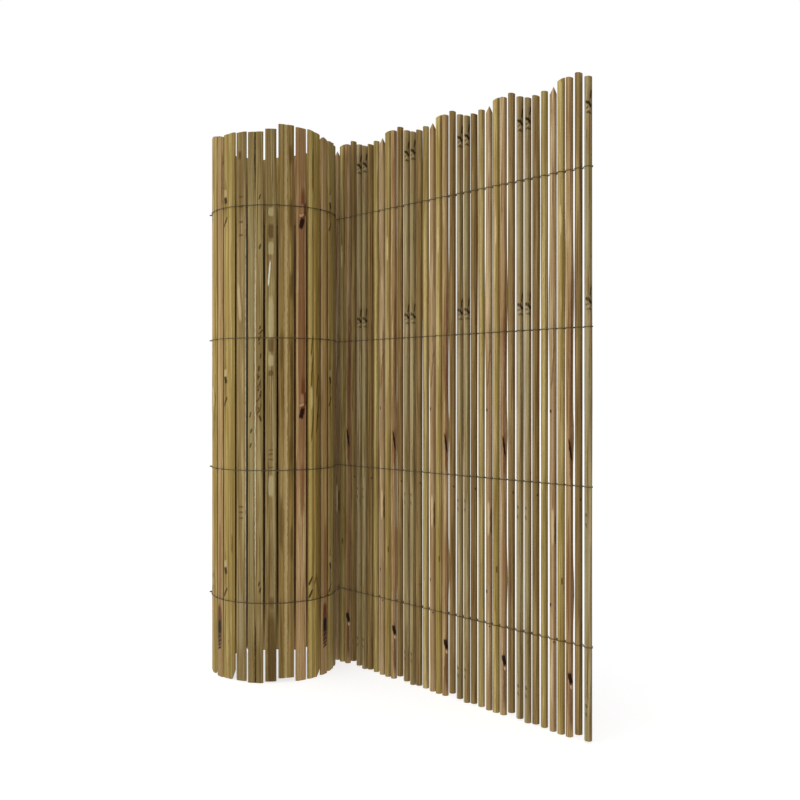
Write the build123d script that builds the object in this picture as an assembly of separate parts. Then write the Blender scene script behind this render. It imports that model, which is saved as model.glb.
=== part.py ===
from build123d import *
import os
from collections import namedtuple
from math import acos, asin, atan2, cos, pi, sin, tan

# Bamboo cane screening, standing upright: a straight panel of round canes whose left end
# curls forward into a hollow roll of wider split canes, bound by four rows of twin wire.
# Millimetres and degrees. X runs along the panel, away from the roll. Y points to the
# panel's back, which carries on as the outside of the roll. Z is up.

# Canes
CANE_LENGTH = 1000.0        # nominal length of every cane, round or split

# Panel
CANES_IN_PANEL = 40
CANE_PITCH = 16.87          # between the centres of neighbouring canes
CANE_THICKNESS = 11.5       # nominal diameter of a round cane
SAW_TURN = 45.0             # the upper saw cuts slope along a line turned this far from the panel

# Roll, whose size follows from the split canes that it holds
SPLITS_IN_ROLL = 23
FIRST_GAP = 3.3             # along the roll, between the first panel cane and the first split cane
FREE_END_OPENING = 23.2     # along the roll, from its free end to where it would touch the panel
SPLIT_THICKNESS = 5.0
NARROW_SPLIT = 20.2         # width of a plain split cane
WIDE_SPLIT = 28.5           # width of a grooved split cane
SPLIT_GAP = 3.7             # between neighbouring split canes
SPLIT_CROWN = 1.5           # how far a split cane's edges fall away from its flat crown
SPLIT_FACET = 4.0           # width of the sloping facet along each of those edges
GROOVE_WIDTH = 4.0          # across the groove down the middle of a wide split cane
GROOVE_DEPTH = 1.5
SPLITS_PER_NODE = 2         # neighbouring split canes that share one node

# Wire rows
ROW_COUNT = 4
LOWEST_ROW = 144.0          # height of the lowest row
ROW_MARGIN = 134.2          # from the highest row up to the nominal length
CANES_PER_PASS = 2          # a strand passes this many panel canes before it changes sides
WIRE_THICKNESS = 1.2
WIRE_CLEARANCE = 0.25       # between a strand and the cane that it passes
STRAND_CLEARANCE = 0.12     # between the two strands where they cross
WIRE_TAIL = 3.0             # the strands end this far past the last split cane

# The eight kinds of round cane, in their order along the panel, from the roll outwards.
# thicker and longer are what a cane has beyond the nominal size, foot is the height of its
# lower end, top_cuts are the slopes of the saw cuts at its upper end, rising to the right rear,
# and shift is how far it stands off its even spacing.
Cane = namedtuple("Cane", "thicker foot longer top_cuts shift")
CANE_KINDS = [
    Cane(thicker=-0.3, foot=0.2, longer=-4.8, top_cuts=[-9], shift=0.0),      # grey green
    Cane(thicker=0.0, foot=2.6, longer=-7.5, top_cuts=[-12], shift=-0.5),     # brown
    Cane(thicker=-0.3, foot=1.7, longer=-3.6, top_cuts=[-4], shift=0.1),      # yellow
    Cane(thicker=-0.5, foot=0.1, longer=0.0, top_cuts=[42, -24], shift=0.6),  # pointed pink
    Cane(thicker=0.3, foot=0.0, longer=9.0, top_cuts=[24], shift=-0.5),       # olive
    Cane(thicker=-0.2, foot=0.0, longer=8.0, top_cuts=[-8], shift=-1.4),      # knotted pink
    Cane(thicker=0.1, foot=8.0, longer=2.7, top_cuts=[-7], shift=-0.8),       # tall brown
    Cane(thicker=0.1, foot=3.0, longer=-2.0, top_cuts=[-4], shift=0.2),       # grey green
]

# The eight kinds of split cane, in their order around the roll, from the panel to the free
# end, alternately narrow and wide. A wide one has a groove down the middle of its outer face.
# top_slope is the slope of the upper saw cut, rising to the right seen from outside.
Split = namedtuple("Split", "wide foot longer top_slope")
SPLIT_KINDS = [
    Split(wide=False, foot=3.0, longer=0.5, top_slope=0),      # grey
    Split(wide=True, foot=8.0, longer=4.5, top_slope=-2),      # olive tan
    Split(wide=False, foot=0.0, longer=9.5, top_slope=-4),     # red pink
    Split(wide=True, foot=0.0, longer=7.0, top_slope=-11),     # pale yellow
    Split(wide=False, foot=0.0, longer=1.5, top_slope=-16),    # knotted pink
    Split(wide=True, foot=1.5, longer=-1.0, top_slope=3),      # yellow olive
    Split(wide=False, foot=2.0, longer=-2.2, top_slope=3),     # tan
    Split(wide=True, foot=0.0, longer=-1.5, top_slope=0),      # seamed grey
]

UP = Vector(0, 0, 1)


# Places of the canes, with the first panel cane on the plan's origin

def cane_kind(number):
    return CANE_KINDS[number % len(CANE_KINDS)]


def split_kind(number):
    return SPLIT_KINDS[number % len(SPLIT_KINDS)]


def cane_diameter(number):
    return CANE_THICKNESS + cane_kind(number).thicker


def split_width(number):
    return WIDE_SPLIT if split_kind(number).wide else NARROW_SPLIT


def cane_centre(number):
    """A panel cane's centre on plan."""
    return Vector(number * CANE_PITCH + cane_kind(number).shift, 0)


def split_step(number):
    """Along the roll, from a split cane's middle to the next one's."""
    return (split_width(number) + split_width(number + 1)) / 2 + SPLIT_GAP


def roll_middle_radius():
    """Radius to the middle of the split canes, at which what the roll holds fills it.

    The full length runs from the first panel cane round to where the roll's outer wires would
    touch the panel's front ones, so it depends a little on the radius and is closed in on.
    """
    last_half = split_width(SPLITS_IN_ROLL - 1) / 2 + WIRE_SEAT + WIRE_TAIL
    steps = sum(split_step(number) for number in range(SPLITS_IN_ROLL - 1))
    full_length = ROLL_LEAD + steps + last_half + FREE_END_OPENING
    thickest = max(cane_diameter(number) for number in range(CANES_IN_PANEL))
    radius = full_length / (2 * pi)
    for _ in range(CLOSING_ROUNDS):
        panel_front = radius - thickest / 2 - 2 * WIRE_SEAT
        roll_reach = radius + SPLIT_THICKNESS / 2 + 2 * WIRE_SEAT
        radius = full_length / (2 * pi - acos(panel_front / roll_reach))
    return radius


def split_angles():
    """Angles of the split canes around the roll, in radians, side by side from the panel to the free end."""
    angles = [pi / 2 + ROLL_LEAD / SPLIT_MIDDLE_RADIUS]
    for number in range(SPLITS_IN_ROLL - 1):
        angles.append(angles[-1] + split_step(number) / SPLIT_MIDDLE_RADIUS)
    return angles


ROW_SPACING = (CANE_LENGTH - ROW_MARGIN - LOWEST_ROW) / (ROW_COUNT - 1)
WIRE_SEAT = WIRE_CLEARANCE + WIRE_THICKNESS / 2      # from a cane's surface to a strand's centre line
ROLL_LEAD = cane_diameter(0) / 2 + FIRST_GAP + split_width(0) / 2      # between those two canes' centres
CLOSING_ROUNDS = 30
SPLIT_MIDDLE_RADIUS = roll_middle_radius()
ROLL_RADIUS = SPLIT_MIDDLE_RADIUS + SPLIT_THICKNESS / 2
ROLL_CENTRE = Vector(0, -SPLIT_MIDDLE_RADIUS)        # so the panel runs on into the roll
SPLIT_ANGLES = split_angles()


def roll_axes(angle):
    """Outward and onward directions on plan, at an angle in radians around the roll."""
    return Vector(cos(angle), sin(angle)), Vector(-sin(angle), cos(angle))


# Canes

def saw_top(blank, top, slope, rightwards):
    """Saw a blank's upper end off through the point top, along a slope that rises to the right."""
    slope_plane = Plane(origin=top, x_dir=rightwards, z_dir=UP).rotated((0, -slope, 0))
    return split(blank, slope_plane, keep=Keep.BOTTOM)


def panel_cane(number):
    """One round cane, sawn square at the foot and on a slope, or to a point, at the top."""
    kind = cane_kind(number)
    foot = cane_centre(number) + UP * kind.foot
    length = CANE_LENGTH + kind.longer
    diameter = cane_diameter(number)
    blank = extrude(Plane(foot) * Circle(diameter / 2), length + diameter)
    rightwards = Vector(1, 0).rotate(Axis.Z, SAW_TURN)
    for slope in kind.top_cuts:
        blank = saw_top(blank, foot + UP * length, slope, rightwards)
    return blank


def split_section(width, grooved):
    """A split cane's section, x to the right seen from outside and y into the roll."""
    crown = -SPLIT_THICKNESS / 2
    half = width / 2
    right_side = [(half - SPLIT_FACET, crown), (half, crown + SPLIT_CROWN), (half, -crown)]
    if grooved:
        right_side.insert(0, (GROOVE_WIDTH / 2, crown))
    left_side = [(-x, y) for x, y in reversed(right_side)]
    groove = [(0, crown + GROOVE_DEPTH)] if grooved else []
    return make_face(Polyline(*left_side, *groove, *right_side, close=True))


def split_cane(number):
    """One split cane: a facetted outer face, sometimes grooved, over a flat inner face."""
    kind = split_kind(number)
    outward, onward = roll_axes(SPLIT_ANGLES[number])
    foot = ROLL_CENTRE + outward * SPLIT_MIDDLE_RADIUS + UP * kind.foot
    width = split_width(number)
    length = CANE_LENGTH + kind.longer
    section = Plane(origin=foot, x_dir=onward, z_dir=UP) * split_section(width, kind.wide)
    blank = extrude(section, length + width)
    return saw_top(blank, foot + UP * length, kind.top_slope, onward)


# Wire rows

def pair_seat(number):
    """From the centres of a panel cane and its partner to the centre line of the strand that passes both."""
    first = number - number % CANES_PER_PASS
    thickest = max(cane_diameter(first + step) for step in range(CANES_PER_PASS))
    return thickest / 2 + WIRE_SEAT


def crossing(number):
    """Where the two strands cross, in the gap that follows a panel cane towards the roll."""
    centre = cane_centre(number)
    if number == 0:
        outward, onward = roll_axes(SPLIT_ANGLES[0])
        split_edge = ROLL_CENTRE + outward * SPLIT_MIDDLE_RADIUS - onward * (split_width(0) / 2)
        towards = (split_edge - centre).normalized()
        return (centre + towards * (cane_diameter(0) / 2) + split_edge) / 2
    share = pair_seat(number) / (pair_seat(number) + pair_seat(number - 1))
    return centre + (cane_centre(number - 1) - centre) * share


def bend_reach(number, side, crossing_point):
    """How far from a cane's crown a strand bends, so that it grazes the cane on its way to a crossing."""
    seat = pair_seat(number)
    offset = crossing_point - cane_centre(number)
    turn = asin(seat / offset.length) - atan2(side * offset.Y, abs(offset.X))
    return seat * tan(turn / 2)


def strand_route(first_side):
    """A strand's points on plan, from the panel's end to the roll's free end.

    Along the panel it passes two canes on one side, crosses the other strand and passes the
    next two on the other side. Around the roll it is drawn tight over the split canes.
    """
    last = CANES_IN_PANEL - 1
    entry = cane_centre(last) + Vector(CANE_PITCH / 2, 0)
    route = [entry]
    side = first_side
    for near in reversed(range(0, CANES_IN_PANEL, CANES_PER_PASS)):
        far = min(near + CANES_PER_PASS - 1, last)
        offset = Vector(0, side * pair_seat(near))
        leaving = crossing(near)
        route.append(cane_centre(far) + offset + Vector(bend_reach(far, side, entry), 0))
        route.append(cane_centre(near) + offset - Vector(bend_reach(near, side, leaving), 0))
        entry = leaving
        side = -side
    route.append(entry)

    face = ROLL_RADIUS if side > 0 else ROLL_RADIUS - SPLIT_THICKNESS
    taut = face + side * WIRE_SEAT
    outward, onward = roll_axes(SPLIT_ANGLES[0])
    near_edge = split_width(0) / 2 + WIRE_SEAT
    route.append(ROLL_CENTRE + outward * taut - onward * near_edge)
    for before, after in zip(SPLIT_ANGLES, SPLIT_ANGLES[1:]):
        outward, onward = roll_axes((before + after) / 2)
        route.append(ROLL_CENTRE + outward * (taut / cos((after - before) / 2)))
    outward, onward = roll_axes(SPLIT_ANGLES[-1])
    far_edge = split_width(SPLITS_IN_ROLL - 1) / 2 + WIRE_SEAT
    route.append(ROLL_CENTRE + outward * taut + onward * far_edge)
    route.append(ROLL_CENTRE + outward * SPLIT_MIDDLE_RADIUS + onward * (far_edge + WIRE_TAIL))
    return route


def strand(first_side, height):
    """One strand of square section that follows its route, with mitred bends, at one height."""
    route = strand_route(first_side)
    runs = [(after - before).normalized() for before, after in zip(route, route[1:])]
    mitres = []
    for before, after in zip(runs[:1] + runs, runs + runs[-1:]):
        across = UP.cross(before + after).normalized()
        mitres.append(across * (WIRE_THICKNESS / 2 / across.dot(UP.cross(before))))
    left = [point + mitre for point, mitre in zip(route, mitres)]
    right = [point - mitre for point, mitre in zip(route, mitres)]
    outline = make_face(Polyline(*left, *reversed(right), close=True))
    return extrude(Pos(0, 0, height - WIRE_THICKNESS / 2) * outline, WIRE_THICKNESS, dir=UP)


def wire_row(number):
    """Two strands, one just above the other, that start on opposite sides of the panel's end cane."""
    height = LOWEST_ROW + number * ROW_SPACING
    step = (WIRE_THICKNESS + STRAND_CLEARANCE) / 2
    return Compound(children=[strand(1, height + step), strand(-1, height - step)])


# The whole screen, standing on the ground with its footprint centred on the origin

pieces = {}
for cane_number in range(CANES_IN_PANEL):
    pieces[f"panel_cane_{cane_number + 1:02d}"] = panel_cane(cane_number)
for first_split in range(0, SPLITS_IN_ROLL, SPLITS_PER_NODE):
    group = range(first_split, min(first_split + SPLITS_PER_NODE, SPLITS_IN_ROLL))
    group_name = f"split_canes_{first_split // SPLITS_PER_NODE + 1:02d}"
    pieces[group_name] = Compound(children=[split_cane(number) for number in group])
for row_number in range(ROW_COUNT):
    pieces[f"wire_row_{row_number + 1}"] = wire_row(row_number)

boxes = [piece.bounding_box() for piece in pieces.values()]
low = Vector(*(min(values) for values in zip(*(tuple(box.min) for box in boxes))))
high = Vector(*(max(values) for values in zip(*(tuple(box.max) for box in boxes))))
standing = Pos(-(low.X + high.X) / 2, -(low.Y + high.Y) / 2, -low.Z)

os.makedirs("parts", exist_ok=True)
for piece_name, piece in pieces.items():
    export_step(standing * piece, f"parts/{piece_name}.step")
print("roll radius", ROLL_RADIUS, "size", high - low)
print("first panel cane stands at", standing * Pos(0, 0, 0))
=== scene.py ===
import math
import random
from collections import namedtuple
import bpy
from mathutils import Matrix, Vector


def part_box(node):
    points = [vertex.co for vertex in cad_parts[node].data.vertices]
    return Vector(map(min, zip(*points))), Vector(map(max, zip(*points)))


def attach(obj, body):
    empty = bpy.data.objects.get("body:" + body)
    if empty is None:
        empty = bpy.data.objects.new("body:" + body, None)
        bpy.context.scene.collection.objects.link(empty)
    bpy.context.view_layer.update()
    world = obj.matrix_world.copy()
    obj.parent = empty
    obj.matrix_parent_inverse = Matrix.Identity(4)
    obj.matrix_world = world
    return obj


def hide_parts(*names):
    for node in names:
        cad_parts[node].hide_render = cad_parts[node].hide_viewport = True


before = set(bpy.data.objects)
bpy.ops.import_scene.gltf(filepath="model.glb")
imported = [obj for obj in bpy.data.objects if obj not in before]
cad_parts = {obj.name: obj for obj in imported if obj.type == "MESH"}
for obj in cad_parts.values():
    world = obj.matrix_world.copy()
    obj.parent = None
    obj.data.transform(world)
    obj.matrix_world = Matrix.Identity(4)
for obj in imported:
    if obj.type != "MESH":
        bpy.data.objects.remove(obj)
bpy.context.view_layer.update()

from types import SimpleNamespace

import bmesh
import bpy
from mathutils import Matrix, Vector

# Round canes: forty bamboo culms about 11.5 mm thick that stand side by side in the straight panel.
# Eight kinds follow one another: some keep a grey green, brown or yellow skin, some are peeled to pink
# wood. They are sawn square at the foot and more or less square at the top, and only the wires hold them.

MM = 0.001
CANE_THICKNESS = 11.5       # mm
CANE_SIDES = 20
RING_SPACING = 20.0         # mm between the rings of the mesh along a cane
RIM = 0.45                  # mm, width of the worn rim at the sawn ends
PITH = 1.9                  # mm, radius of the hollow in the middle
PITH_DEPTH = 7.0            # mm
SAWN_TILT = 0.5             # a face whose normal rises or falls more than this is a sawn one
END_ZONE = 30.0             # mm from a cane's box ends, where the sawn faces and the pith lie
SKIN_SHARE = 0.9            # of the radius, outside which a face near an end is still skin
SAW_TURN = math.radians(45)     # the top cuts slope along a line turned this far from the panel
SAW_LINE = Vector((math.cos(SAW_TURN), math.sin(SAW_TURN), 0))
SHOWN_SIDE = math.radians(46)   # the canes' best side faces this far right of the panel's front
ACROSS = Vector((math.cos(SHOWN_SIDE), math.sin(SHOWN_SIDE), 0))
TOWARDS = Vector((math.sin(SHOWN_SIDE), -math.cos(SHOWN_SIDE), 0))

# Bamboo has a thin dry skin over long straight fibres, satin where it is whole. The eye gets streaks
# along the cane, over long bands of a second hue and paler weathered blotches. Sizes are wide and long.
FIBRE = (1.5, 150.0)        # mm, about four times as coarse as real fibre bundles, to show
BAND = (3.2, 700.0)         # mm
BLOTCH = (6.0, 150.0)       # mm
FLECK = (1.2, 20.0)         # mm, short dark flecks along the fibres
RAGGED = (3.0, 9.0)         # mm, how fine the ragged edge of a patch is
SHAKE = (2.6, 0.0, 7.0)     # mm that this edge wanders across, out from and up the cane
FIBRE_DETAIL = 3.0
PATCH_DETAIL = 2.0
NOISE_ROUGHNESS = 0.6
FIBRE_RANGE = (0.3, 0.7)    # noise in the valleys and on the ridges of the fibres
BAMBOO_ROUGHNESS = (0.42, 0.62)     # on the ridges and in the valleys
BAMBOO_SHINE = 0.07         # a dry, dusty skin reflects far less than a varnished one
RELIEF = 0.12               # mm, height of the fibres
RELIEF_STRENGTH = 0.5
PATCH_OUT = 0.35            # of the thickness, from the cane's middle out to a patch's middle
PATCH_DEPTH = 0.8           # of the thickness, half a patch's depth

# A layer of colour: its tone, the size of its patches, the noise at which it begins and at which it
# is full, and how much of the colour below it then covers.
Layer = namedtuple("Layer", "tone size begins full cover")
LAYERS = [
    Layer("pale", BLOTCH, 0.48, 0.60, 0.85),
    Layer("band", BAND, 0.49, 0.56, 0.8),
    Layer("streak", FLECK, 0.36, 0.27, 0.8),
    Layer("streak", FIBRE, 0.49, 0.37, 0.95),
]


def linear(hex_colour):
    """An sRGB hex colour as linear RGBA."""
    parts = [int(hex_colour[i:i + 2], 16) / 255 for i in (1, 3, 5)]
    return [p / 12.92 if p <= 0.04045 else ((p + 0.055) / 1.055) ** 2.4 for p in parts] + [1.0]


def add(tree, kind, fields, inputs):
    """Add a shader node, set its fields, and set its inputs or link them to other nodes' sockets."""
    made = tree.nodes.new("ShaderNode" + kind)
    for name, value in fields.items():
        setattr(made, name, value)
    for name, value in inputs.items():
        if isinstance(value, bpy.types.NodeSocket):
            tree.links.new(value, made.inputs[name])
        else:
            made.inputs[name].default_value = value
    return made


def grain(tree, where, size, unit, detail):
    """Noise drawn out along the cane, with features as wide and long as size."""
    wide, long = (1 / (length * unit) for length in size)
    drawn = add(tree, "Mapping", {}, {"Vector": where, "Scale": (wide, wide, long)})
    return add(tree, "TexNoise", {}, {"Vector": drawn.outputs[0], "Scale": 1.0, "Detail": detail,
                                      "Roughness": NOISE_ROUGHNESS})


def bamboo(name, thickness, ground, **tones):
    """Satin bamboo: a ground colour with paler blotches, bands of a second hue and dark fibre streaks.

    The grain lies in object space, so no two canes are alike. Stains and painted light read the
    piece's own place attribute, which counts millimetres across, out from and up the cane.
    """
    material = bpy.data.materials.new(name)
    material.use_nodes = True
    tree = material.node_tree
    tree.nodes.clear()
    where = add(tree, "TexCoord", {}, {}).outputs["Object"]
    place = add(tree, "Attribute", {"attribute_name": "place"}, {}).outputs["Vector"]
    fibres = grain(tree, where, FIBRE, MM, FIBRE_DETAIL)
    colour = linear(ground)
    for layer in LAYERS:
        noise = fibres if layer.size == FIBRE else grain(tree, where, layer.size, MM, PATCH_DETAIL)
        share = add(tree, "MapRange", {"interpolation_type": "SMOOTHSTEP"},
                    {"Value": noise.outputs[0], "From Min": layer.begins, "From Max": layer.full,
                     "To Max": layer.cover})
        mixed = add(tree, "Mix", {"data_type": "RGBA"},
                    {0: share.outputs[0], 6: colour, 7: linear(tones[layer.tone])})
        colour = mixed.outputs[2]

    ragged = grain(tree, place, RAGGED, 1.0, PATCH_DETAIL)
    wander = add(tree, "VectorMath", {"operation": "SUBTRACT"}, {0: ragged.outputs[1], 1: (0.5, 0.5, 0.5)})
    shaken = add(tree, "VectorMath", {"operation": "MULTIPLY_ADD"},
                 {0: wander.outputs[0], 1: SHAKE, 2: place})
    shine = add(tree, "MapRange", {}, {"Value": fibres.outputs[0],
                                       "From Min": FIBRE_RANGE[0], "From Max": FIBRE_RANGE[1],
                                       "To Min": BAMBOO_ROUGHNESS[1], "To Max": BAMBOO_ROUGHNESS[0]})
    relief = add(tree, "Bump", {}, {"Height": fibres.outputs[0], "Strength": RELIEF_STRENGTH,
                                    "Distance": RELIEF * MM})
    surface = add(tree, "BsdfPrincipled", {}, {"Base Color": colour, "Roughness": shine.outputs[0],
                                               "Normal": relief.outputs[0],
                                               "Specular IOR Level": BAMBOO_SHINE})
    add(tree, "OutputMaterial", {}, {"Surface": surface.outputs[0]})
    return SimpleNamespace(material=material, tree=tree, place=shaken.outputs[0], surface=surface,
                           colour=colour, face=PATCH_OUT * thickness, depth=PATCH_DEPTH * thickness)


def paint_stain_or_light(skin, colour, across, height, half_width, half_height, slope=0.0, strength=0.9, soft=0.4):
    """Paint one ragged patch on a skin, placed and sized in millimetres on the cane's shown face.
    Most patches are stains; some are painted highlights and painted shade.

    slope is in degrees, rising to the right. soft is the share of the patch that its edge fades over.
    """
    patch = add(skin.tree, "Mapping", {"vector_type": "TEXTURE"},
                {"Vector": skin.place, "Location": (across, skin.face, height),
                 "Rotation": (0.0, math.radians(-slope), 0.0),
                 "Scale": (half_width, skin.depth, half_height)})
    squared = add(skin.tree, "VectorMath", {"operation": "MULTIPLY"},
                  {0: patch.outputs[0], 1: patch.outputs[0]})
    reach = add(skin.tree, "VectorMath", {"operation": "LENGTH"}, {0: squared.outputs[0]})
    share = add(skin.tree, "MapRange", {"interpolation_type": "SMOOTHSTEP"},
                {"Value": reach.outputs["Value"], "From Min": 1.0, "From Max": (1 - soft) ** 2,
                 "To Max": strength})
    mixed = add(skin.tree, "Mix", {"data_type": "RGBA"},
                {0: share.outputs[0], 6: skin.colour, 7: linear(colour)})
    skin.colour = mixed.outputs[2]
    skin.tree.links.new(skin.colour, skin.surface.inputs["Base Color"])


# Grey green skin: dull and chalky, with painted highlight down its left, and black branch scars at two of its
# nodes.
grey_green = bamboo("grey_green_bamboo_skin", CANE_THICKNESS,
                    ground="#8B764D", pale="#A6946D", streak="#5C4926", band="#7D6C42")
# A pale stripe down the left edge: painted highlight.
paint_stain_or_light(grey_green, "#AEA079", -4.3, 500, 1.4, 900, strength=0.4, soft=0.6)
for node_height in (959, 664):
    paint_stain_or_light(grey_green, "#69512F", 1.2, node_height + 6, 5.0, 26, strength=0.45, soft=0.9)
    paint_stain_or_light(grey_green, "#1A1108", 0.9, node_height, 2.5, 6.0, slope=38, strength=0.92)
    paint_stain_or_light(grey_green, "#201509", -2.8, node_height + 2.5, 2.0, 3.2, slope=15, strength=0.9)
    paint_stain_or_light(grey_green, "#2B1D0C", -2.4, node_height - 6, 2.4, 1.9, slope=30, strength=0.8)
    paint_stain_or_light(grey_green, "#2B1D0C", 2.9, node_height + 14, 1.5, 8.5, slope=-8, strength=0.92)
    paint_stain_or_light(grey_green, "#A19477", -0.8, node_height - 8, 2.0, 2.4, slope=30, strength=0.6)
    paint_stain_or_light(grey_green, "#33230E", 0.2, node_height - 13, 4.8, 2.0, slope=-10, strength=0.75)
    paint_stain_or_light(grey_green, "#856448", 3.2, node_height - 44, 1.9, 28, strength=0.65)
for speck_height in (342, 327, 56, 43):
    paint_stain_or_light(grey_green, "#2B1F0F", -3.6, speck_height, 1.3, 3.4, slope=20, strength=0.6)
# Pale green streaks left of the middle: partly paler skin, partly painted highlight.
paint_stain_or_light(grey_green, "#A8A079", -1.6, 560, 2.4, 130, strength=0.5, soft=0.9)
paint_stain_or_light(grey_green, "#A09870", -1.8, 800, 2.2, 110, strength=0.5, soft=0.9)
paint_stain_or_light(grey_green, "#A09870", -1.4, 260, 2.2, 120, strength=0.4, soft=0.9)

# Brown skin: the darkest cane, with reddish painted shade down its right side and one small black eye.
brown = bamboo("brown_bamboo_skin", CANE_THICKNESS,
               ground="#836B41", pale="#9A8353", streak="#58401F", band="#725C33")
paint_stain_or_light(brown, "#261909", 2.0, 365, 1.8, 1.8)
# A reddish brown stripe down the right side: painted shade.
paint_stain_or_light(brown, "#6E4729", 4.2, 640, 1.8, 300, strength=0.6, soft=0.8)

# Yellow skin: warm and clean, with a long painted highlight above and an olive shade below.
yellow = bamboo("yellow_bamboo_skin", CANE_THICKNESS,
                ground="#9C8753", pale="#B5A16A", streak="#745D31", band="#8A7942")
# A long pale stripe left of the middle: painted highlight.
paint_stain_or_light(yellow, "#C1AE73", -1.2, 640, 1.8, 280, strength=0.65, soft=0.8)
paint_stain_or_light(yellow, "#7C6733", 2.8, 240, 2.2, 110, strength=0.5, soft=0.9)
paint_stain_or_light(yellow, "#7A6331", 0.4, 910, 3.4, 40, strength=0.4, soft=0.9)

# Peeled wood: pinkish tan, with brown hollows, a pale lens of bared fibre and small black eyes.
pointed_pink = bamboo("peeled_pink_bamboo", CANE_THICKNESS,
                      ground="#A48A63", pale="#BDA680", streak="#7C5E3C", band="#93774F")
paint_stain_or_light(pointed_pink, "#876542", 0.6, 380, 5.0, 300, strength=0.5, soft=0.8)
paint_stain_or_light(pointed_pink, "#64482A", 0.4, 612, 1.3, 34, strength=0.55)
paint_stain_or_light(pointed_pink, "#64482A", -1.0, 566, 1.4, 40, slope=-4, strength=0.6)
paint_stain_or_light(pointed_pink, "#C1AA82", -1.3, 318, 2.2, 32)
paint_stain_or_light(pointed_pink, "#5C4222", 2.8, 312, 1.6, 26)
paint_stain_or_light(pointed_pink, "#21160C", -4.6, 497, 1.7, 3.2)
paint_stain_or_light(pointed_pink, "#21160C", -4.6, 197, 1.7, 3.2)
paint_stain_or_light(pointed_pink, "#3F2B15", 0.6, 139, 1.5, 2.0)

# Olive skin: yellow green, with painted highlight down its left edge and a short painted highlight near the
# top.
olive = bamboo("olive_bamboo_skin", CANE_THICKNESS,
               ground="#9E874C", pale="#B8A46D", streak="#785F2F", band="#8B7A41")
# A pale stripe down the left edge: painted highlight.
paint_stain_or_light(olive, "#C3AD8F", -4.2, 640, 2.0, 320, strength=0.35, soft=0.7)
# A short bright patch near the top: painted highlight.
paint_stain_or_light(olive, "#C6B17C", -1.6, 792, 1.7, 26, strength=0.8)
paint_stain_or_light(olive, "#59431D", 0.4, 236, 1.8, 6.0)
paint_stain_or_light(olive, "#846E39", 1.6, 690, 2.4, 60, strength=0.5, soft=0.9)

# Knotted wood: pink, burnt red brown around a long black cleft and around a knot near the foot.
knotted_pink = bamboo("knotted_pink_bamboo", CANE_THICKNESS,
                      ground="#A2885E", pale="#BAA177", streak="#6F4D2D", band="#906F48")
paint_stain_or_light(knotted_pink, "#734C2E", 1.2, 560, 3.6, 190, strength=0.6, soft=0.8)
paint_stain_or_light(knotted_pink, "#5E321D", 2.2, 600, 1.3, 140, strength=0.7, soft=0.7)
paint_stain_or_light(knotted_pink, "#7E5734", 0.8, 200, 4.6, 140, strength=0.55, soft=0.8)
paint_stain_or_light(knotted_pink, "#623419", 1.4, 424, 2.6, 46, strength=0.7, soft=0.6)
paint_stain_or_light(knotted_pink, "#210E07", 0.6, 438, 1.9, 20, slope=8, strength=0.95)
paint_stain_or_light(knotted_pink, "#5E311A", 0.8, 60, 2.8, 56, strength=0.65, soft=0.6)
paint_stain_or_light(knotted_pink, "#1E0B05", 0.4, 90, 3.3, 11, slope=12, strength=0.97)
paint_stain_or_light(knotted_pink, "#D1B286", 2.0, 77, 1.8, 3.4, slope=25, strength=0.85)

# Sawn bamboo: every cane is cross-cut, which leaves a matt face dotted with pale fibre ends.
END_GRAIN = 0.5             # mm between the fibre ends
SAWN_ROUGHNESS = 0.8
sawn_end = bpy.data.materials.new("sawn_bamboo_end")
sawn_end.use_nodes = True
end_tree = sawn_end.node_tree
end_where = add(end_tree, "TexCoord", {}, {}).outputs["Object"]
end_dots = add(end_tree, "TexNoise", {}, {"Vector": end_where, "Scale": 1 / (END_GRAIN * MM),
                                          "Detail": PATCH_DETAIL})
end_tone = add(end_tree, "Mix", {"data_type": "RGBA"},
               {0: end_dots.outputs[0], 6: linear("#7D6A44"), 7: linear("#B09C6E")})
end_surface = end_tree.nodes["Principled BSDF"]
end_tree.links.new(end_tone.outputs[2], end_surface.inputs["Base Color"])
end_surface.inputs["Roughness"].default_value = SAWN_ROUGHNESS

# A kind's top_cuts are the slopes of its saw cuts, rising to the right, in degrees. A knob is a
# swelling on one side: its height, half its length, and how far it stands out to the right, in mm.
CaneKind = namedtuple("CaneKind", "skin slot top_cuts knobs")
CANE_KINDS = [
    CaneKind(grey_green, "cane_grey_green", [-9], [(590, 170, -0.5)]),
    CaneKind(brown, "cane_brown", [-12], [(800, 170, 1.1)]),
    CaneKind(yellow, "cane_yellow", [-4], [(640, 70, 0.5), (800, 150, -0.3)]),
    CaneKind(pointed_pink, "cane_pink", [63, -63], [(655, 85, -1.5), (370, 60, -0.4)]),
    CaneKind(olive, "cane_yellow", [24], [(700, 150, 0.3)]),
    CaneKind(knotted_pink, "cane_pink", [-8],
             [(720, 90, -0.7), (680, 60, 1.2), (460, 30, 1.3), (222, 34, 1.6)]),
    CaneKind(brown, "cane_brown", [-7], [(690, 80, -0.6)]),
    CaneKind(grey_green, "cane_grey_green", [-4], [(520, 150, 0.5)]),
]


def saw(bm, point, normal):
    """Cut a closed mesh off above a plane and close the cut with one face."""
    everything = bm.verts[:] + bm.edges[:] + bm.faces[:]
    cut = bmesh.ops.bisect_plane(bm, geom=everything, plane_co=point, plane_no=normal, clear_outer=True)
    rim = [edge for edge in cut["geom_cut"] if isinstance(edge, bmesh.types.BMEdge)]
    bmesh.ops.contextual_create(bm, geom=rim)


def sawn_faces(bm):
    """The faces of the sawn ends: the ones that face mostly up or down."""
    return [face for face in bm.faces if abs(face.normal.z) > SAWN_TILT]


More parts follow.
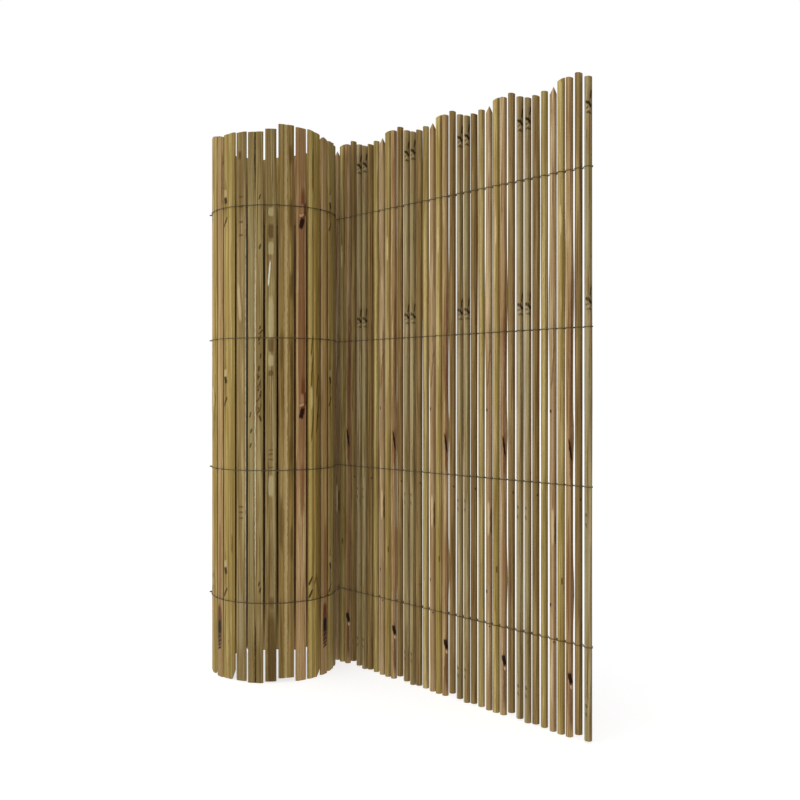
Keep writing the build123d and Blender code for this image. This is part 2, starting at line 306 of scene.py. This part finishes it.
def make_piece(bm, name, node, materials, place_of):
    """Turn a mesh into a piece of the screen, in place of its CAD node, with its place attribute."""
    place = bm.verts.layers.float_vector.new("place")
    for vert in bm.verts:
        vert[place] = place_of(vert.co) / MM
    mesh = bpy.data.meshes.new(name)
    bm.to_mesh(mesh)
    bm.free()
    for material in materials:
        mesh.materials.append(material)
    piece = bpy.data.objects.new(name, mesh)
    bpy.context.scene.collection.objects.link(piece)
    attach(piece, "root")
    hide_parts(node)


def knob_push(kind, height):
    """How far a cane's knobs push its right and left sides out at a height, in metres."""
    right = left = 0.0
    for middle, half_length, out in kind.knobs:
        share = math.exp(-((height / MM - middle) / half_length) ** 2)
        if out > 0:
            right += out * share * MM
        else:
            left -= out * share * MM
    return right, left


def round_cane(node, kind):
    """One round cane inside its CAD cane's box, with its knobs, sawn ends, worn rims and pith."""
    low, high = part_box(node)
    radius = (high.x - low.x) / 2
    axis = Vector(((low.x + high.x) / 2, (low.y + high.y) / 2, 0))
    length = high.z - low.z
    middle = Matrix.Translation(axis + Vector((0, 0, low.z + length / 2)))
    bm = bmesh.new()
    bmesh.ops.create_cone(bm, cap_ends=True, segments=CANE_SIDES, radius1=radius, radius2=radius,
                          depth=length, matrix=middle)
    upright = [edge for edge in bm.edges if abs(edge.verts[0].co.z - edge.verts[1].co.z) > length / 2]
    rings = int(length / (RING_SPACING * MM))
    bmesh.ops.subdivide_edges(bm, edges=upright, cuts=rings, use_grid_fill=True)

    slant = math.radians(abs(kind.top_cuts[0])) if len(kind.top_cuts) == 1 else 0.0
    top = axis + Vector((0, 0, high.z - radius * math.tan(slant)))
    for slope in kind.top_cuts:
        turn = math.radians(slope)
        saw(bm, top, SAW_LINE * -math.sin(turn) + Vector((0, 0, math.cos(turn))))
    bm.normal_update()
    rims = list({edge for face in sawn_faces(bm) for edge in face.edges})
    bmesh.ops.bevel(bm, geom=rims, offset=RIM * MM, segments=2, profile=0.5, affect="EDGES", material=-1)
    bm.normal_update()

    # The pith is sunk where both ends are whole sawn faces, not on a pointed cane.
    ends = [face for face in sawn_faces(bm) if len(face.verts) >= CANE_SIDES // 2 - 2]
    if len(ends) == 2:
        wall = radius - RIM * MM - PITH * MM
        bmesh.ops.inset_individual(bm, faces=ends, thickness=wall)
        for face in ends:
            sink = Vector((0, 0, -math.copysign(PITH_DEPTH * MM, face.normal.z)))
            hollow = bmesh.ops.extrude_discrete_faces(bm, faces=[face])["faces"][0]
            bmesh.ops.translate(bm, verts=hollow.verts, vec=sink)
    for vert in bm.verts:
        right, left = knob_push(kind, vert.co.z)
        side = (vert.co - axis).dot(ACROSS) / radius
        vert.co += ACROSS * (side * (right if side > 0 else left))
    bmesh.ops.recalc_face_normals(bm, faces=bm.faces[:])
    for face in bm.faces:
        centre = face.calc_center_median()
        at_end = centre.z > high.z - END_ZONE * MM or centre.z < low.z + END_ZONE * MM
        sawn = at_end and (centre - axis).to_2d().length < radius * SKIN_SHARE
        face.material_index = 1 if sawn else 0
        face.smooth = not sawn

    def place_of(point):
        offset = point - axis
        return Vector((offset.dot(ACROSS), offset.dot(TOWARDS), point.z))

    make_piece(bm, "bamboo_" + node, node, [kind.skin.material, sawn_end], place_of)


panel_nodes = sorted(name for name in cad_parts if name.startswith("panel_cane_"))
for number, panel_node in enumerate(panel_nodes):
    round_cane(panel_node, CANE_KINDS[number % len(CANE_KINDS)])

# Split canes: twenty three slats, split and planed from thicker bamboo, that form the hollow roll.
# Narrow plain ones and wide grooved ones alternate, again in eight kinds. Their outer face keeps
# a crown with two planed edges, their inner face is flat, and the wires hold them side by side.

SPLITS_IN_ROLL = 23
SPLITS_PER_NODE = 2
ROLL_MIDDLE = 115.377       # mm, radius of the roll to the middle of the slats
ROLL_LEAD = 19.0            # mm along the roll, from the first panel cane to the first slat
SPLIT_THICKNESS = 5.0       # mm
NARROW_SPLIT = 20.2         # mm
WIDE_SPLIT = 28.5           # mm
SPLIT_GAP = 3.7             # mm
SPLIT_CROWN = 1.5           # mm, how far the edges fall away from the crown
SPLIT_FACET = 4.0           # mm, width of a planed edge
GROOVE_WIDTH = 4.0          # mm
GROOVE_DEPTH = 1.5          # mm
EDGE_ROUND = 0.6            # mm
CUT_TILT = 0.3              # a face whose normal rises or falls more than this is a sawn or chipped one
PAINTED_SHADE_DEPTH = 3.0            # mm that the painted shade reaches out from a slat's inner face

# Grey slat: dull grey olive, with a row of pale and dark patches and a foot gone brown.
grey_split = bamboo("grey_split_bamboo", SPLIT_THICKNESS,
                    ground="#8A754A", pale="#A08F61", streak="#5E4824", band="#7B663A")
for pale_height, pale_half in ((853, 9), (787, 14), (660, 46), (584, 12), (357, 22)):
    paint_stain_or_light(grey_split, "#B8AB7E", 0.4, pale_height, 5.6, pale_half, strength=0.6, soft=0.35)
paint_stain_or_light(grey_split, "#D9D5BC", -2.6, 742, 1.6, 26, slope=-5, strength=0.9, soft=0.3)
for dark_height, dark_half in ((818, 15), (612, 15), (561, 6)):
    paint_stain_or_light(grey_split, "#56411E", 0.4, dark_height, 5.6, dark_half, strength=0.75, soft=0.35)
for rung_height in (422, 414, 405, 390):
    paint_stain_or_light(grey_split, "#56411E", 0.0, rung_height, 5.0, 2.0, strength=0.6)
paint_stain_or_light(grey_split, "#503816", 1.5, 60, 9.0, 80, strength=0.75)
paint_stain_or_light(grey_split, "#3C290F", 1.5, 145, 5.0, 14, strength=0.5, soft=0.8)
paint_stain_or_light(grey_split, "#A0966D", 6.8, 300, 2.2, 260, strength=0.5, soft=0.7)

# Olive tan slat: brownish olive, with a pale stripe along its groove and dark smudges at the sides.
olive_tan = bamboo("olive_tan_split_bamboo", SPLIT_THICKNESS,
                   ground="#917744", pale="#A48B57", streak="#634A21", band="#7E6737")
paint_stain_or_light(olive_tan, "#BFA978", -1.2, 500, 3.0, 900, strength=0.85, soft=0.35)
SMUDGES = [(7.5, 958, 22), (8.0, 850, 36), (8.5, 720, 30), (9.0, 590, 52), (-9.0, 600, 48),
           (8.0, 420, 30), (9.5, 480, 160), (-10.0, 290, 60), (9.0, 250, 40)]
for smudge_across, smudge_height, smudge_half in SMUDGES:
    paint_stain_or_light(olive_tan, "#56401A", smudge_across, smudge_height, 4.2, smudge_half, strength=0.7, soft=0.7)

# Red pink slat: the reddest one, brown down its middle, with two black knots under pale lips.
red_pink = bamboo("red_pink_split_bamboo", SPLIT_THICKNESS,
                  ground="#B59668", pale="#C7AA7C", streak="#7E5936", band="#9D7A4E")
paint_stain_or_light(red_pink, "#7A4F30", 0.8, 640, 8.6, 330, strength=0.7, soft=0.5)
paint_stain_or_light(red_pink, "#8B6840", 0.5, 960, 10.0, 70, strength=0.7, soft=0.5)
paint_stain_or_light(red_pink, "#794728", 2.5, 350, 5.0, 60, strength=0.7, soft=0.6)
for knot_height in (835, 488):
    paint_stain_or_light(red_pink, "#67351D", 3.5, knot_height + 32, 5.5, 42, strength=0.75, soft=0.6)
    paint_stain_or_light(red_pink, "#C89E72", 1.5, knot_height + 26, 4.0, 12, strength=0.5, soft=0.7)
    paint_stain_or_light(red_pink, "#25110B", 0.5, knot_height, 5.4, 12, slope=-14, strength=0.97)
    paint_stain_or_light(red_pink, "#D8AE80", 0.5, knot_height + 15, 6.0, 2.4, slope=22, strength=0.65)
    paint_stain_or_light(red_pink, "#2C140D", 7.8, knot_height + 26, 1.5, 14, strength=0.8)

# Pale yellow slat: the brightest one, darker to the right, with brown loops and slanting strokes.
pale_yellow = bamboo("pale_yellow_split_bamboo", SPLIT_THICKNESS,
                     ground="#A68E51", pale="#C2AC6B", streak="#79602C", band="#96803F")
paint_stain_or_light(pale_yellow, "#CBB471", -9.4, 520, 3.6, 900, strength=0.7, soft=0.5)
paint_stain_or_light(pale_yellow, "#7D632E", 7.5, 480, 5.5, 700, strength=0.45, soft=0.6)
paint_stain_or_light(pale_yellow, "#674E1D", -4.0, 935, 2.6, 46, strength=0.7)
LOOPS = [(-6.4, 612, 22), (-5.6, 572, 24), (-7.0, 548, 14), (7.4, 540, 26), (9.0, 500, 30),
         (6.6, 470, 24), (-4.0, 470, 40)]
for loop_across, loop_height, loop_half in LOOPS:
    paint_stain_or_light(pale_yellow, "#543C11", loop_across, loop_height, 2.0, loop_half, slope=-6, strength=0.75)
for stroke_height in (180, 156):
    paint_stain_or_light(pale_yellow, "#2F1F09", -9.0, stroke_height, 2.5, 10, slope=-26, strength=0.9)
paint_stain_or_light(pale_yellow, "#4B3611", 3.0, 182, 1.9, 13, slope=-12, strength=0.65)
paint_stain_or_light(pale_yellow, "#4B3611", 8.0, 168, 2.2, 22, slope=6, strength=0.55)
paint_stain_or_light(pale_yellow, "#E2CF91", -7.0, 516, 2.6, 24, strength=0.7)

# Knotted pink slat: pinkish tan, with a black scar near the foot, red above it and striped below it.
pink_split = bamboo("knotted_pink_split_bamboo", SPLIT_THICKNESS,
                    ground="#A78B5C", pale="#B79D6D", streak="#7F5F36", band="#97784B")
paint_stain_or_light(pink_split, "#79502D", 2.6, 206, 6.0, 90, strength=0.6)
paint_stain_or_light(pink_split, "#5A351A", 0.5, 94, 8.6, 46, strength=0.8)
paint_stain_or_light(pink_split, "#692914", 0.5, 119, 4.6, 15, strength=0.8)
paint_stain_or_light(pink_split, "#100503", 0.5, 92, 6.0, 16, strength=0.98)
for stripe_height in (74, 66, 59, 53):
    paint_stain_or_light(pink_split, "#160A06", 0.3, stripe_height, 6.6, 2.3, slope=26, strength=0.95)
paint_stain_or_light(pink_split, "#5E4225", 8.4, 920, 1.8, 60, strength=0.7)

# Yellow olive slat: warm, darker at its right edge, with three small eyes down its left side.
yellow_olive = bamboo("yellow_olive_split_bamboo", SPLIT_THICKNESS,
                      ground="#A38B51", pale="#B7A266", streak="#7D6634", band="#927D43")
paint_stain_or_light(yellow_olive, "#826C38", 10.6, 500, 3.2, 900, strength=0.6, soft=0.7)
paint_stain_or_light(yellow_olive, "#6E5626", -9.0, 560, 3.4, 120, strength=0.6, soft=0.7)
for eye_height in (877, 547, 197):
    paint_stain_or_light(yellow_olive, "#6E5626", -8.5, eye_height + 2, 5.0, 44, strength=0.6, soft=0.8)
    paint_stain_or_light(yellow_olive, "#C8B483", -8.4, eye_height + 14, 4.2, 9.0, strength=0.55)
    paint_stain_or_light(yellow_olive, "#2B1D0B", -7.8, eye_height + 2, 4.4, 8.0, slope=15, strength=0.85)
    paint_stain_or_light(yellow_olive, "#3C2910", -8.4, eye_height - 38, 2.6, 12, slope=-28, strength=0.85)
paint_stain_or_light(yellow_olive, "#4D3714", 9.0, 250, 2.2, 20, strength=0.6)

# Tan slat: plain and dusty, with faint rungs across it and a pale bared right edge.
tan_split = bamboo("tan_split_bamboo", SPLIT_THICKNESS,
                   ground="#907A4D", pale="#A58F63", streak="#67512B", band="#7F6A3F")
paint_stain_or_light(tan_split, "#6B542D", 0.5, 900, 8.0, 70, strength=0.6, soft=0.7)
paint_stain_or_light(tan_split, "#4A3317", -2.0, 958, 4.0, 10, strength=0.7, soft=0.7)
for rung_height in (882, 864, 836, 812, 318, 308, 298):
    paint_stain_or_light(tan_split, "#4F3C1C", 0.5, rung_height, 5.6, 2.4, strength=0.65)
paint_stain_or_light(tan_split, "#B8A477", -3.0, 690, 3.4, 40, slope=4, strength=0.7)
paint_stain_or_light(tan_split, "#A89C77", 0.5, 110, 6.0, 70, strength=0.5, soft=0.8)
paint_stain_or_light(tan_split, "#C6C3A9", 9.9, 480, 0.9, 430, strength=0.7, soft=0.4)

# Seamed grey slat: its groove is a pale bared seam, black at both ends, beside a gnawed patch.
seamed_grey = bamboo("seamed_grey_split_bamboo", SPLIT_THICKNESS,
                     ground="#8E794B", pale="#A49164", streak="#634E27", band="#7D6A3F")
paint_stain_or_light(seamed_grey, "#978A61", -7.0, 520, 5.0, 520, strength=0.5, soft=0.6)
paint_stain_or_light(seamed_grey, "#D3D0B4", 0.0, 500, 1.1, 380, strength=0.75, soft=0.4)
paint_stain_or_light(seamed_grey, "#21180B", -0.4, 985, 1.5, 110, strength=0.9, soft=0.4)
paint_stain_or_light(seamed_grey, "#2D1E0C", 0.6, 40, 1.8, 80, strength=0.85, soft=0.4)
paint_stain_or_light(seamed_grey, "#634D25", 8.0, 560, 5.0, 110, strength=0.6, soft=0.7)
GNAWED_FLECKS = 26
gnawed = random.Random(7)
for _ in range(GNAWED_FLECKS):
    paint_stain_or_light(seamed_grey, "#36250E", gnawed.uniform(5.0, 11.5), gnawed.uniform(470, 645),
          gnawed.uniform(0.9, 2.4), gnawed.uniform(2.0, 9.0),
          slope=gnawed.uniform(-45, 25), strength=gnawed.uniform(0.5, 0.9))
FLECKS = [(-9.0, 486), (-7.4, 456), (-8.6, 430), (8.5, 880), (9.0, 790), (7.5, 180), (9.4, 168)]
for fleck_across, fleck_height in FLECKS:
    paint_stain_or_light(seamed_grey, "#36250E", fleck_across, fleck_height, 1.8, 6.0, slope=-15, strength=0.8)

# The split sides and the inside of the roll are painted dark brown as shade, less so near the ends.
for split_skin in (grey_split, olive_tan, red_pink, pale_yellow, pink_split, yellow_olive, tan_split,
                   seamed_grey):
    split_skin.face = -SPLIT_THICKNESS / 2
    split_skin.depth = PAINTED_SHADE_DEPTH
    paint_stain_or_light(split_skin, "#32230F", 0.0, 470, 40.0, 480, strength=0.8, soft=0.3)

# foot and top are heights in mm, and slope is the top cut's, in degrees, rising to the right. A chip
# is a corner knocked off: which side and end it is at, and its width and height in mm.
SplitKind = namedtuple("SplitKind", "skin slot wide foot top slope chips")
SPLIT_KINDS = [
    SplitKind(grey_split, "split_grey", False, 3.0, 1003.5, 0, []),
    SplitKind(olive_tan, "split_grey", True, 8.0, 1012.4, -2, []),
    SplitKind(red_pink, "split_pink", False, 0.0, 1009.5, -4, []),
    SplitKind(pale_yellow, "split_pink", True, 0.0, 1007.0, -11, [(1, 0, 9, 14)]),
    SplitKind(pink_split, "split_yellow", False, 0.0, 1001.5, -16, [(-1, 1, 5, 4)]),
    SplitKind(yellow_olive, "split_yellow", True, 1.5, 1000.5, 3, [(1, 0, 8, 18)]),
    SplitKind(tan_split, "split_tan", False, 2.0, 999.8, 3, []),
    SplitKind(seamed_grey, "split_tan", True, 0.0, 998.5, 0, []),
]

first_low, first_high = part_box("panel_cane_01")
first_cane = Vector(((first_low.x + first_high.x) / 2, (first_low.y + first_high.y) / 2, 0))
roll_centre = first_cane - Vector((0, ROLL_MIDDLE * MM, 0))


def split_kind(number):
    return SPLIT_KINDS[number % len(SPLIT_KINDS)]


def split_width(number):
    return WIDE_SPLIT if split_kind(number).wide else NARROW_SPLIT


def roll_axes(angle):
    """Outward and onward directions at an angle around the roll. Onward is right, seen from outside."""
    return Vector((math.cos(angle), math.sin(angle), 0)), Vector((-math.sin(angle), math.cos(angle), 0))


split_angles = [math.pi / 2 + ROLL_LEAD / ROLL_MIDDLE]
for number in range(SPLITS_IN_ROLL - 1):
    split_step = (split_width(number) + split_width(number + 1)) / 2 + SPLIT_GAP
    split_angles.append(split_angles[-1] + split_step / ROLL_MIDDLE)


def split_cane(number):
    """One slat of the roll: its section drawn at the foot, pulled up, planed, sawn and chipped."""
    kind = split_kind(number)
    half = split_width(number) / 2 * MM
    crown = SPLIT_THICKNESS / 2 * MM
    outward, onward = roll_axes(split_angles[number])
    centre = roll_centre + outward * (ROLL_MIDDLE * MM)
    right_side = [(half - SPLIT_FACET * MM, crown), (half, crown - SPLIT_CROWN * MM), (half, -crown)]
    if kind.wide:
        right_side.insert(0, (GROOVE_WIDTH / 2 * MM, crown))
    section = [(-across, out) for across, out in reversed(right_side)] + right_side
    if kind.wide:
        section.insert(len(right_side), (0.0, crown - GROOVE_DEPTH * MM))

    bm = bmesh.new()
    foot = Vector((0, 0, kind.foot * MM))
    outline = [bm.verts.new(centre + foot + onward * across + outward * out) for across, out in section]
    bottom = bm.faces.new(outline)
    pulled = bmesh.ops.extrude_face_region(bm, geom=[bottom], use_keep_orig=True)["geom"]
    raised = [item for item in pulled if isinstance(item, bmesh.types.BMVert)]
    tall = (kind.top - kind.foot) * MM + 2 * half
    bmesh.ops.translate(bm, verts=raised, vec=(0, 0, tall))
    upright = [edge for edge in bm.edges if abs(edge.verts[0].co.z - edge.verts[1].co.z) > tall / 2]
    bmesh.ops.bevel(bm, geom=upright, offset=EDGE_ROUND * MM, segments=2, profile=0.5, affect="EDGES",
                    material=-1)
    slope = math.radians(kind.slope)
    top = centre + Vector((0, 0, kind.top * MM))
    saw(bm, top, onward * -math.sin(slope) + Vector((0, 0, math.cos(slope))))
    for side, end, chip_width, chip_height in kind.chips:
        edge_height = (kind.top if end else kind.foot) * MM
        corner = centre + onward * (side * half) + Vector((0, 0, edge_height))
        lean = Vector((0, 0, chip_width if end else -chip_width)) + onward * (side * chip_height)
        saw(bm, corner - onward * (side * chip_width * MM), lean.normalized())
    bmesh.ops.recalc_face_normals(bm, faces=bm.faces[:])
    for face in bm.faces:
        sawn = abs(face.normal.z) > CUT_TILT
        face.material_index = 1 if sawn else 0
        face.smooth = not sawn

    def place_of(point):
        offset = point - centre
        return Vector((offset.dot(onward), offset.dot(outward), point.z))

    node = f"split_canes_{number // SPLITS_PER_NODE + 1:02d}"
    name = f"split_cane_{number + 1:02d}"
    make_piece(bm, name, node, [kind.skin.material, sawn_end], place_of)


for number in range(SPLITS_IN_ROLL):
    split_cane(number)

# Wire rows: four rows of thin galvanised wire, long since gone dull and dark. Each row is a pair of
# strands, one in front of and one behind every cane, twisted half a turn in each gap, so that they
# grip the canes. They end in a short twisted tail at the panel's end and at the roll's free end.

WIRE_THICKNESS = 1.2        # mm
WIRE_SEAT = 0.7             # mm, from a cane's surface to the wire's centre line
STRAND_STEP = 0.66          # mm, how far a strand lies above or below the other where they cross
CANE_GRIP = math.radians(38)    # how far round a cane a strand follows it, each way
WIRE_TAIL = 3.0             # mm past the roll's last slat
LOOP_AT = 10                # the twist before this slat stands out as a loop
LOOP_OUT = 7.0              # mm
TWIST_OUT = 2.6             # mm that the twists between slats sit outside the slats' middle
EDGE_IN = 1.0               # mm from a slat's edge, where a strand bends over it
EDGE_DROP = SPLIT_CROWN / 2     # mm that an outer strand sinks there with the planed edge
STRAND_STEPS = 3            # steps of the mesh from one bend of a strand to the next

# Weathered galvanised wire: half metal, half brown dirt, so it reads as a dark line with dull spots.
RUST_GRAIN = 6.0            # mm between duller and brighter spots
RUST_DETAIL = 3.0
WIRE_METALLIC = 0.4
WIRE_ROUGHNESS = 0.55
wire_metal = bpy.data.materials.new("weathered_galvanised_wire")
wire_metal.use_nodes = True
wire_tree = wire_metal.node_tree
wire_where = add(wire_tree, "TexCoord", {}, {}).outputs["Object"]
wire_spots = add(wire_tree, "TexNoise", {}, {"Vector": wire_where, "Scale": 1 / (RUST_GRAIN * MM),
                                             "Detail": RUST_DETAIL})
wire_tone = add(wire_tree, "Mix", {"data_type": "RGBA"},
                {0: wire_spots.outputs[0], 6: linear("#2C2214"), 7: linear("#605438")})
wire_surface = wire_tree.nodes["Principled BSDF"]
wire_tree.links.new(wire_tone.outputs[2], wire_surface.inputs["Base Color"])
wire_surface.inputs["Metallic"].default_value = WIRE_METALLIC
wire_surface.inputs["Roughness"].default_value = WIRE_ROUGHNESS


def strand_points(first_side, height):
    """A strand's points from the panel's end to the roll's free end, passing each cane on alternate sides."""
    points = []
    side = first_side
    cane_boxes = [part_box(name) for name in panel_nodes]
    centres = [Vector(((low.x + high.x) / 2, (low.y + high.y) / 2, height)) for low, high in cane_boxes]
    radii = [(high.x - low.x) / 2 for low, high in cane_boxes]
    end_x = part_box("wire_row_1")[1].x - WIRE_THICKNESS / 2 * MM
    points.append(Vector((end_x, centres[-1].y, height + side * STRAND_STEP * MM)))
    for index in reversed(range(len(centres))):
        seat = radii[index] + WIRE_SEAT * MM
        for turn in (CANE_GRIP, 0.0, -CANE_GRIP):
            points.append(centres[index] + Vector((math.sin(turn), side * math.cos(turn), 0)) * seat)
        side = -side
        if index:
            middle = (centres[index] + centres[index - 1]) / 2
            points.append(middle + Vector((0, 0, side * STRAND_STEP * MM)))
    for index, angle in enumerate(split_angles):
        outward, onward = roll_axes(angle)
        centre = roll_centre + outward * (ROLL_MIDDLE * MM) + Vector((0, 0, height))
        face = side * (SPLIT_THICKNESS / 2 + WIRE_SEAT) * MM
        edge = (split_width(index) / 2 - EDGE_IN) * MM
        stand_out = LOOP_OUT if index == LOOP_AT else TWIST_OUT
        back = (split_width(index) + SPLIT_GAP) / 2 * MM
        crossing = centre - onward * back + outward * (stand_out * MM)
        points.append(crossing + Vector((0, 0, side * STRAND_STEP * MM)))
        drop = EDGE_DROP * MM if side > 0 else 0.0
        points.append(centre + outward * (face - drop) - onward * edge)
        points.append(centre + outward * face)
        points.append(centre + outward * (face - drop) + onward * edge)
        side = -side
    outward, onward = roll_axes(split_angles[-1])
    tail = split_width(SPLITS_IN_ROLL - 1) / 2 + WIRE_TAIL
    points.append(roll_centre + outward * (ROLL_MIDDLE * MM) + onward * (tail * MM)
                  + Vector((0, 0, height + side * STRAND_STEP * MM)))
    return points


def wire_row(node):
    """A row of two smooth round strands at the height of its CAD row."""
    low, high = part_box(node)
    height = (low.z + high.z) / 2
    curve = bpy.data.curves.new("twisted_" + node, "CURVE")
    curve.dimensions = "3D"
    curve.bevel_depth = WIRE_THICKNESS / 2 * MM
    curve.bevel_resolution = 1
    curve.resolution_u = STRAND_STEPS
    curve.render_resolution_u = STRAND_STEPS
    curve.use_fill_caps = True
    for first_side in (1, -1):
        points = strand_points(first_side, height)
        spline = curve.splines.new("BEZIER")
        spline.bezier_points.add(len(points) - 1)
        for bend, point in zip(spline.bezier_points, points):
            bend.co = point
            bend.handle_left_type = bend.handle_right_type = "AUTO"
    curve.materials.append(wire_metal)
    piece = bpy.data.objects.new("twisted_" + node, curve)
    bpy.context.scene.collection.objects.link(piece)
    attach(piece, "root")
    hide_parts(node)


for wire_node in sorted(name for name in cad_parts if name.startswith("wire_row_")):
    wire_row(wire_node)

# Stage: a plain white floor that glows a little for the camera, so that shadows on it stay faint,
# in a white studio that is brighter on the panel's front left, with a soft key light from there.

FLOOR_SIZE = 40.0           # m
FLOOR_GLOW = 0.72           # for the camera
FLOOR_LIGHT = 0.6           # for the canes
FLOOR_ROUGHNESS = 0.9
LIGHT_FROM = Vector((-0.2, -0.9, 0.1))
BRIGHT_SIDE = 1.35          # room light from that side, as a share of what the camera sees
DARK_SIDE = 0.06
KEY_STRENGTH = 0.55
KEY_SOFTNESS = math.radians(35)

floor_bm = bmesh.new()
bmesh.ops.create_grid(floor_bm, x_segments=1, y_segments=1, size=FLOOR_SIZE / 2)
floor_mesh = bpy.data.meshes.new("floor")
floor_bm.to_mesh(floor_mesh)
floor_bm.free()
floor = bpy.data.objects.new("floor", floor_mesh)
bpy.context.scene.collection.objects.link(floor)

# White studio paint: matt and even, with no shine of its own.
floor_paint = bpy.data.materials.new("white_studio_floor")
floor_paint.use_nodes = True
floor_tree = floor_paint.node_tree
floor_seen = add(floor_tree, "LightPath", {}, {}).outputs["Is Camera Ray"]
floor_glow = add(floor_tree, "MapRange", {}, {"Value": floor_seen, "To Min": FLOOR_LIGHT,
                                              "To Max": FLOOR_GLOW})
floor_surface = floor_tree.nodes["Principled BSDF"]
floor_tree.links.new(floor_glow.outputs[0], floor_surface.inputs["Emission Strength"])
floor_surface.inputs["Base Color"].default_value = linear("#B4B4B4")
floor_surface.inputs["Roughness"].default_value = FLOOR_ROUGHNESS
floor_surface.inputs["Emission Color"].default_value = linear("#FFFFFF")
floor_mesh.materials.append(floor_paint)

room = bpy.data.worlds.new("white_room")
room.use_nodes = True
bpy.context.scene.world = room
room_tree = room.node_tree
looking = add(room_tree, "TexCoord", {}, {}).outputs["Generated"]
lit = add(room_tree, "VectorMath", {"operation": "DOT_PRODUCT"}, {0: looking, 1: LIGHT_FROM.normalized()})
sided = add(room_tree, "MapRange", {}, {"Value": lit.outputs["Value"], "From Min": -1.0, "From Max": 1.0,
                                        "To Min": DARK_SIDE, "To Max": BRIGHT_SIDE})
room_seen = add(room_tree, "LightPath", {}, {}).outputs["Is Camera Ray"]
brightness = add(room_tree, "Mix", {}, {0: room_seen, 2: sided.outputs[0], 3: 1.0})
background = room_tree.nodes["Background"]
background.inputs["Color"].default_value = linear("#FFFFFF")
room_tree.links.new(brightness.outputs[0], background.inputs["Strength"])

key = bpy.data.lights.new("key_light", "SUN")
key.energy = KEY_STRENGTH
key.angle = KEY_SOFTNESS
key_light = bpy.data.objects.new("key_light", key)
key_light.rotation_euler = (-LIGHT_FROM).to_track_quat("-Z", "Y").to_euler()
bpy.context.scene.collection.objects.link(key_light)
bpy.context.scene.view_settings.view_transform = "Standard"

# Camera: level, at about half the screen's height, in front of its free end and to the right, so that
# the panel runs away from it towards the roll.

CAMERA_OFFSET = Vector((1.5491, -1.1810, 0.5275))   # m from the first panel cane's foot
CAMERA_FORWARD = Vector((-0.7440, 0.6684, 0.0))
FOCAL_PIXELS = 965.7
IMAGE_PIXELS = 800
HORIZON_PIXEL = 391.7
SENSOR_WIDTH = 36.0         # mm
FARTHEST = 100.0            # m

camera = bpy.data.cameras.new("camera")
camera.sensor_width = SENSOR_WIDTH
camera.lens = SENSOR_WIDTH * FOCAL_PIXELS / IMAGE_PIXELS
camera.shift_y = (HORIZON_PIXEL - IMAGE_PIXELS / 2) / IMAGE_PIXELS
camera.clip_end = FARTHEST
camera_object = bpy.data.objects.new("camera", camera)
camera_object.location = first_cane + CAMERA_OFFSET
camera_object.rotation_euler = CAMERA_FORWARD.to_track_quat("-Z", "Y").to_euler()
bpy.context.scene.collection.objects.link(camera_object)
bpy.context.scene.camera = camera_object

bpy.context.view_layer.update()
